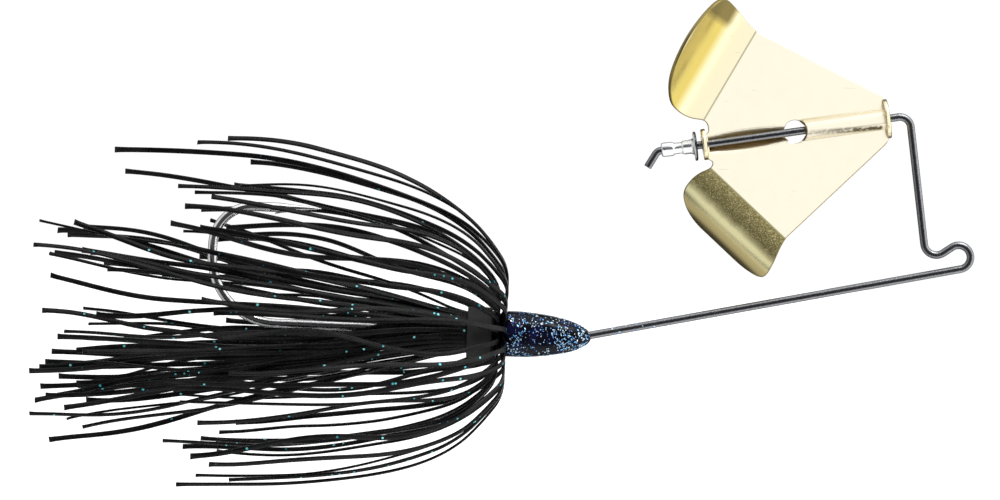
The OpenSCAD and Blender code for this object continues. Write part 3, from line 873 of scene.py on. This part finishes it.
def build_head(mat, flake_mat):
    profile = [(BARREL_END + d, r) for d, r in ((0.02, 1.7), (0, 1.98), (0.1, 2.14), (0.3, 2.2))]
    profile += [(mix(BARREL_END + 0.6, HEAD_BACK - 0.3, k / 18), 2.2) for k in range(19)]
    profile += [(HEAD_BACK + d, r)
                for d, r in ((-0.02, 2.24), (0, 2.4), (0.01, 2.9), (0.05, 3.15), (0.16, 3.29))]
    domed = [mix(HEAD_BACK + 0.2, NOSE, 1 - (1 - k / 41) ** 1.8) for k in range(1, 41)]
    profile += [(x, head_radius(x)) for x in domed] + [(NOSE - 0.012, 0.22), (NOSE - 0.002, 0.08)]
    rows = [[head_point(x, 360 * k / 96, r) for k in range(96)] for x, r in profile]
    shape = Shape(*capped(rows))
    placed = 0
    while placed < 900:
        on_head = rng.random() < 0.9
        x = rng.uniform(HEAD_BACK + 0.25, NOSE - 0.12) if on_head else rng.uniform(BARREL_END, HEAD_BACK)
        a = rng.uniform(0, 360)
        crowd = noise.noise(Vector((x * 0.75, a * 0.022, 7.3)))
        if rng.random() > 0.42 + 1.5 * crowd + 0.25 * ease((x + 60) / 5):
            continue
        r = head_radius(x) if on_head else 2.2
        here = head_point(x, a, r)
        normal = (head_point(x, a + 2, r) - head_point(x, a - 2, r)).cross(
            head_point(x + 0.1, a, head_radius(x + 0.1) if on_head else r) - here)
        if normal.dot(Vector((0, cosd(a), sind(a)))) < 0:
            normal = -normal
        normal = normal.normalized()
        normal += Vector([rng.uniform(-0.28, 0.28) for _ in range(3)])
        heading = Vector([rng.uniform(-1, 1) for _ in range(3)])
        shape.add(*flake(here + normal.normalized() * 0.018, normal, heading, rng.uniform(0.055, 0.105),
                         rng.choice((1, 1, 1.3, 2.1))), 1, tone=rng.random())
        placed += 1
    shape.piece("head_cast", "frame", "head", "head_paint", [mat, flake_mat], (1,))


# ---- Collar, sleeve and spur ----


def build_collar(mat):
    width, outer, bore = COLLAR_FRONT - COLLAR_BACK, 3.72, 3.07
    profile = [(0.0, bore), (0.0, outer - 0.14), (0.05, outer - 0.04), (0.15, outer)]
    profile += [(mix(0.4, width - 0.4, k / 8), outer + 0.05 * math.sin(math.pi * k / 8) - 0.03)
                for k in range(9)]
    profile += [(width - 0.15, outer), (width - 0.05, outer - 0.04), (width, outer - 0.14), (width, bore)]
    shape = Shape(*turning((COLLAR_BACK, SHANK_Z, 0.0), profile, 72, closed=True))
    shape.piece("collar_moulded", "frame", "skirt_collar", "collar_rubber", [mat])


def build_sleeve(mat):
    length, wall_r, bore = 5.2, 1.0, 0.72
    mouth = [(0.02, bore), (0.0, bore + 0.05), (0.0, wall_r - 0.07), (0.05, wall_r)]
    profile = mouth + [(mix(0.2, length - 0.2, k / 14), wall_r) for k in range(15)]
    profile += [(length - along, radius) for along, radius in reversed(mouth)]

    def shrunk(along, radius, a):
        # the tube is shrunk down over the spur that lies along the top of the shank
        off = (a - 90 + 180) % 360 - 180
        over = math.exp(-(off / 27) ** 2)
        if radius < wall_r - 0.1:
            return radius + 0.26 * over
        ripple = 0.02 * math.sin(along * 2.1 + off * 0.05)
        return radius + 0.31 * over + ripple * (0 < along < length)

    shape = Shape(*turning((BARREL_END - length, SHANK_Z, 0.0), profile, 60, closed=True, shape=shrunk))
    shape.piece("sleeve_shrunk", "frame", "keeper_sleeve", "sleeve_plastic", [mat])


def build_spur(mat):
    radius, rounding, count = 0.21, 0.06, 16
    poses = run((BARREL_END - 1.2, SHANK_Z + 0.91, 180.0),
                [("line", 5.4), ("bend", 0.75, -156), ("line", 3.3)], 0.6, 8)
    rows = [ring(pose, radius, count) for pose in poses[:-1]]
    rows += [ring(ahead(poses[-1], -rounding), radius, count), ring(poses[-1], radius - rounding, count)]
    shape = Shape(*capped(rows))
    shape.piece("spur_bent", "frame", "keeper_spur", "spur_wire", [mat])


# ---- Skirt strands ----

LENGTH_VARIES, SPREAD_VARIES, DRIFT_VARIES = 0.7549, 0.5698, 0.6180
WAVE_VARIES, TWIST_VARIES = 0.3247, 0.8191
STEPS = 4              # rings between two knots of a strand's path
WANDER, LIFT = 3.6, 1.5
FLECKS_PER_STRAND = (12, 20)
SIDE_FLAT, LOW_SIDE = 0.86, 1.3
TAIL_RINGS, BELL_RINGS, FOLD_RINGS = 15, 17, 4
TAIL_LENGTH, BELL_LENGTH, BELL_R = 58, 43, 25.5
STRAND_W, STRAND_T = 0.62, 0.34
INNER_R, OUTER_R = 2.42, 2.83
INNER_COUNT, OUTER_COUNT = 22, 26
INNER_TAILS = ((0, 40), (30, 52), (42, 96), (180, 180))
OUTER_TAILS = ((0, 20), (70, 70), (84, 97), (180, 180))
INNER_BELL = ((0, 0), (79, 75), (101, 101), (180, 180))
OUTER_BELL = ((0, 0), (63, 58), (81, 71), (99, 99), (180, 180))
PULLED = {6: 14, 28: 16}      # strands that were pulled forward, and how far


def vary(i, by):
    return 2 * (i * by - math.floor(i * by)) - 1


def lookup(v, table):
    for (a, fa), (b, fb) in zip(table, table[1:]):
        if v <= b:
            return mix(fa, fb, (v - a) / (b - a))
    return table[-1][1]


def parted(azimuth, table, amount):
    off = azimuth - 450 if azimuth > 270 else azimuth - 90
    return azimuth + amount * math.copysign(1, off) * (lookup(abs(off), table) - abs(off)) * (off != 0)


def tail_point(i, inner, azimuth, t):
    reach = TAIL_LENGTH * (1 + 0.09 * vary(i, LENGTH_VARIES)) - PULLED.get(i, 0)
    spread = (8 + 2.2 * vary(i, SPREAD_VARIES)) if inner else (13.4 + 3 * vary(i, SPREAD_VARIES))
    spread -= 2.4 if i in PULLED else 0
    opened = math.sqrt(t * t + 0.0016) - 0.04
    flare = 0.72 * opened + 0.28 * sind(90 * opened)
    wave = t * (0.35 if inner else 0.7) * sind(360 * (0.9 * t + vary(i, WAVE_VARIES)))
    return [COLLAR_BACK - reach * t, (INNER_R if inner else OUTER_R) + spread * flare + wave,
            parted(azimuth, INNER_TAILS if inner else OUTER_TAILS, ease((reach * t - 3) / 18))
            + t * 4 * vary(i, DRIFT_VARIES), t * 40 * vary(i, TWIST_VARIES)]


def bell_point(i, inner, azimuth, fold_x, fold_r, t):
    reach = BELL_LENGTH * (1 + 0.12 * vary(i, LENGTH_VARIES)) + PULLED.get(i, 0)
    height = (BELL_R - fold_r + 1.6 * vary(i, SPREAD_VARIES)) if inner \
        else (0.66 * BELL_R - fold_r + 3 + 1.2 * vary(i, SPREAD_VARIES))
    height -= LOW_SIDE * ease(-sind(azimuth))
    angle = 90 * t
    bulge = (0.7 if inner else 0.3) * sind(180 * min(1, 5 * t))
    wave = t * 0.7 * sind(360 * (0.8 * t + vary(i, WAVE_VARIES)))
    return [fold_x + bulge - reach * (1 - cosd(angle)),
            fold_r + height * max(0.0, sind(angle)) ** (0.74 if inner else 0.85) + wave,
            parted(azimuth, INNER_BELL if inner else OUTER_BELL, ease(2 * t))
            + t * 6 * vary(i, DRIFT_VARIES), t * 40 * vary(i, TWIST_VARIES)]


def strand_path(i, inner, azimuth):
    layer_r = INNER_R if inner else OUTER_R
    fold_bend, fold_x = (1.1, COLLAR_FRONT + 0.5) if inner else (0.75, COLLAR_FRONT + 0.1)
    path = [tail_point(i, inner, azimuth, k / TAIL_RINGS) for k in range(TAIL_RINGS, -1, -1)]
    path += [[mix(COLLAR_BACK, fold_x, t), layer_r, azimuth, 0] for t in (0.33, 0.66)]
    path += [[fold_x + fold_bend * sind(90 * k / FOLD_RINGS),
              layer_r + fold_bend * (1 - cosd(90 * k / FOLD_RINGS)), azimuth, 0]
             for k in range(FOLD_RINGS + 1)]
    path += [bell_point(i, inner, azimuth, fold_x + fold_bend, layer_r + fold_bend, k / BELL_RINGS)
             for k in range(1, BELL_RINGS + 1)]
    return path


def placed(p):
    flat = 1 - (1 - SIDE_FLAT) * ease((p[1] - 4) / 10)
    return Vector((p[0], p[1] * cosd(p[2]) * flat, SHANK_Z + p[1] * sind(p[2])))


STRIP_SECTION = [(x / 2, y / 2) for x, y in (
    (0.74, 1.0), (0.0, 1.06), (-0.74, 1.0), (-0.97, 0.72), (-1.0, 0.0), (-0.97, -0.72),
    (-0.74, -1.0), (0.0, -1.06), (0.74, -1.0), (0.97, -0.72), (1.0, 0.0), (0.97, 0.72))]


def build_strand(i, mat, flake_mat):
    inner = i <= INNER_COUNT
    place = i if inner else i - INNER_COUNT
    path = strand_path(i, inner, 360 * (place - 0.25) / (INNER_COUNT if inner else OUTER_COUNT))
    own = random.Random(900 + i)
    middle = TAIL_RINGS + 3
    rings = strand_rings(i, path, middle, (own.uniform(-1, 1), own.uniform(-1, 1)))
    across = [a * 2 for _ in rings for a, _ in STRIP_SECTION]
    shape = Shape(*capped([row for row, _ in rings]), across=across)
    add_flecks(shape, own, [laid for _, laid in rings], STEPS * middle)
    shape.piece(f"strand_{i}_silicone", "frame", f"strand_{i}", "skirt_silicone", [mat, flake_mat], (1,))


def strand_rings(i, path, middle, roll):
    """Rings along a strand, each with its centre, its two cross axes and its direction."""
    fine = spline([[*placed(p), p[2], p[3]] for p in path], STEPS)
    last = len(fine) - 1
    rings = []
    for k, (x, y, z, azimuth, twist) in enumerate(fine):
        before, after = fine[max(0, k - 1)], fine[min(last, k + 1)]
        along = (Vector(after[:3]) - Vector(before[:3])).normalized()
        tail = k < STEPS * middle
        share = abs(k / STEPS - middle) / middle
        free = ease((share - 0.12) / 0.9)
        outward = Vector((0, cosd(azimuth), sind(azimuth)))
        sideways = Vector((0, -sind(azimuth), cosd(azimuth)))
        # soft strands wander a little sideways and cross their neighbours
        own = 0 if tail else 40
        drift = noise.noise(Vector((share * 2.6 + own, i * 2.37, 1.0)))
        lift = noise.noise(Vector((share * 3.1 + own, i * 1.93, 9.0)))
        centre = Vector((x, y, z)) + (WANDER * drift * sideways + LIFT * lift * outward) * free
        flat_w = (sideways - sideways.dot(along) * along).normalized()
        flat_t = along.cross(flat_w)
        twist += (80 * roll[0] if tail else 50 * roll[1]) * free
        w = flat_w * cosd(twist) + flat_t * sind(twist)
        t = flat_t * cosd(twist) - flat_w * sind(twist)
        # pinched together by the collar, the strips spread a little there
        pinch = 1 - ease((share - 0.06) / 0.3)
        uneven = 0.14 * noise.noise(Vector((k * 0.09, i * 3.1, 0)))
        wide = STRAND_W * (1.19 + (0.2 if tail else 0.42) * pinch + uneven)
        thick = STRAND_T * (1 + 0.06 * noise.noise(Vector((k * 0.11, i * 5.7, 4))))
        # the cutter smears the last of each tail a little wider
        swell = {0: 1.16, 1: 1.05}.get(min(k, last - k), 1.0)
        row = [centre + w * (a * wide * swell) + t * (b * thick * swell) for a, b in STRIP_SECTION]
        rings.append((row, (centre, w, t, along)))
    return rings


def add_flecks(shape, own, laid, middle):
    """Foil flecks in the faces of a strand; few are left on the strands of the upper bell."""
    for _ in range(own.randint(*FLECKS_PER_STRAND)):
        k = own.randrange(3, len(laid) - 3)
        if abs(k - middle) < 12:
            continue
        side = own.choice((1, -1))
        centre, w, t, along = laid[k]
        if k > middle and centre.z > SHANK_Z + 8 and own.random() < 0.75:
            continue
        spot = mix(centre, laid[k + 1][0], own.random()) + w * own.uniform(-0.09, 0.09)
        shape.add(*flake(spot + t * side * (STRAND_T * 0.53 + 0.012), t * side, along,
                         own.uniform(0.14, 0.20), own.uniform(1, 1.2)), 1, tone=own.random())


# ---- Studio ----


def make_world():
    """A white studio, with dark flags in front and round the backdrop that give metal its bands."""
    world = bpy.data.worlds.new("studio")
    bpy.context.scene.world = world
    world.use_nodes = True
    look = Graph(world.node_tree)
    look.tree.nodes.clear()
    way = look.node("SeparateXYZ", Vector=look.node("TexCoord").outputs["Generated"])
    front = look.math("MULTIPLY_ADD", way.outputs["Y"], -0.5, 0.5)
    bands = look.ramp(front, [
        (0.0, 0.9), (0.025, 0.9), (0.05, 0.05), (0.19, 0.05), (0.29, 0.75), (0.55, 1.0),
        (0.76, 0.95), (0.87, 0.07), (1.0, 0.05)])
    side = look.node("MapRange", Value=way.outputs["X"], From_Min=-0.85, From_Max=0.35, To_Min=0.40,
                     To_Max=1.0)
    up = look.node("MapRange", Value=way.outputs["Z"], From_Min=-0.8, From_Max=0.6, To_Min=0.85,
                   To_Max=1.0)
    studio = look.node("Background", Color=look.times(side, up, bands, 1.9), Strength=1.0)
    white = look.node("Background", Color=(1.0, 1.0, 1.0), Strength=1.05)
    seen = look.node("LightPath").outputs["Is Camera Ray"]
    look.node("OutputWorld", Surface=look.node("MixShader", i0=seen, i1=studio, i2=white))


def make_floor():
    mesh = bpy.data.meshes.new("floor")
    reach, level = 9000, CAD_BOX[0][2] / MM - 6
    ring_points = [Vector((reach * cosd(6 * k), reach * sind(6 * k), level)) * MM for k in range(60)]
    mesh.from_pydata(ring_points, [], [tuple(range(60))])
    look = Finish("floor_white", (0.92, 0.92, 0.92), 0.0, 0.9, Emission_Color=(1, 1, 1),
                  Emission_Strength=0.45)
    look.set(Base_Color=look.blend(look.noise(400.0), (0.91, 0.91, 0.91), (0.93, 0.93, 0.93)))
    mesh.materials.append(look.mat)
    obj = in_scene("floor", mesh)
    obj.visible_glossy = False


def soft_light(name, place, aim, size, power, receivers=None):
    lamp = bpy.data.lights.new(name, "AREA")
    lamp.shape, lamp.size, lamp.size_y, lamp.energy = "RECTANGLE", size[0], size[1], power
    obj = in_scene(name, lamp)
    obj.location = place
    obj.rotation_mode = "QUATERNION"
    obj.rotation_quaternion = (Vector(aim) - Vector(place)).to_track_quat("-Z", "Y")
    if receivers:
        group = bpy.data.collections.new(name + "_receivers")
        for receiver in receivers:
            group.objects.link(receiver)
        obj.light_linking.receiver_collection = group


# ---- Build ----

make_camera()
make_world()
make_floor()
bpy.context.scene.view_settings.view_transform = "Standard"

silicone = silicone_finish()
skirt_flake = flake_finish("skirt_flake", [(0.02, 0.26, 0.32), (0.08, 0.52, 0.58), (0.32, 0.90, 0.92)],
                           0.25, 0.35)
head_flake = flake_finish("head_flake", [(0.05, 0.14, 0.50), (0.15, 0.48, 0.88), (0.55, 0.88, 0.98),
                                         (0.97, 0.99, 1.0)], 0.3, 0.3)
build_wire_arm(steel_finish("arm_wire", (0.26, 0.265, 0.28), 0.24, 0.16, 0.05, 0.94), head_flake)
build_hook(steel_finish("hook_nickel", (0.92, 0.92, 0.94), 0.08, 0.25, 0.008, 0.2, 0.4))
build_blade(gold_finish())
build_rivet(steel_finish("rivet_aluminium", (0.93, 0.94, 0.95), 0.30, 0.3, 0.02, 0.15, 0.3))
build_head(paint_finish(), head_flake)
build_collar(rubber_finish("collar_rubber", (0.008, 0.008, 0.008), 0.55, 0.3))
build_sleeve(rubber_finish("sleeve_plastic", (0.016, 0.016, 0.017), 0.45, 0.2))
build_spur(steel_finish("spur_wire", (0.20, 0.19, 0.17), 0.3, 0.1, 0.03, 0.6))
for strand in range(1, INNER_COUNT + OUTER_COUNT + 1):
    build_strand(strand, silicone, skirt_flake)

blade_look = bpy.data.objects["blade_sheet"]
soft_light("front_panel", (0.7, -1.5, 0.2), (0.7, 0, 0.2), (2.3, 3.2), 30.0, [blade_look])
soft_light("rivet_panel", (-0.05, -1.2, -0.75), (-0.05, 0, 0), (2.4, 1.4), 14.0,
           [bpy.data.objects["rivet_pressed"]])
soft_light("top_key", (0.25, -0.35, 0.75), (-0.07, 0, 0), (0.35, 0.35), 3.0)
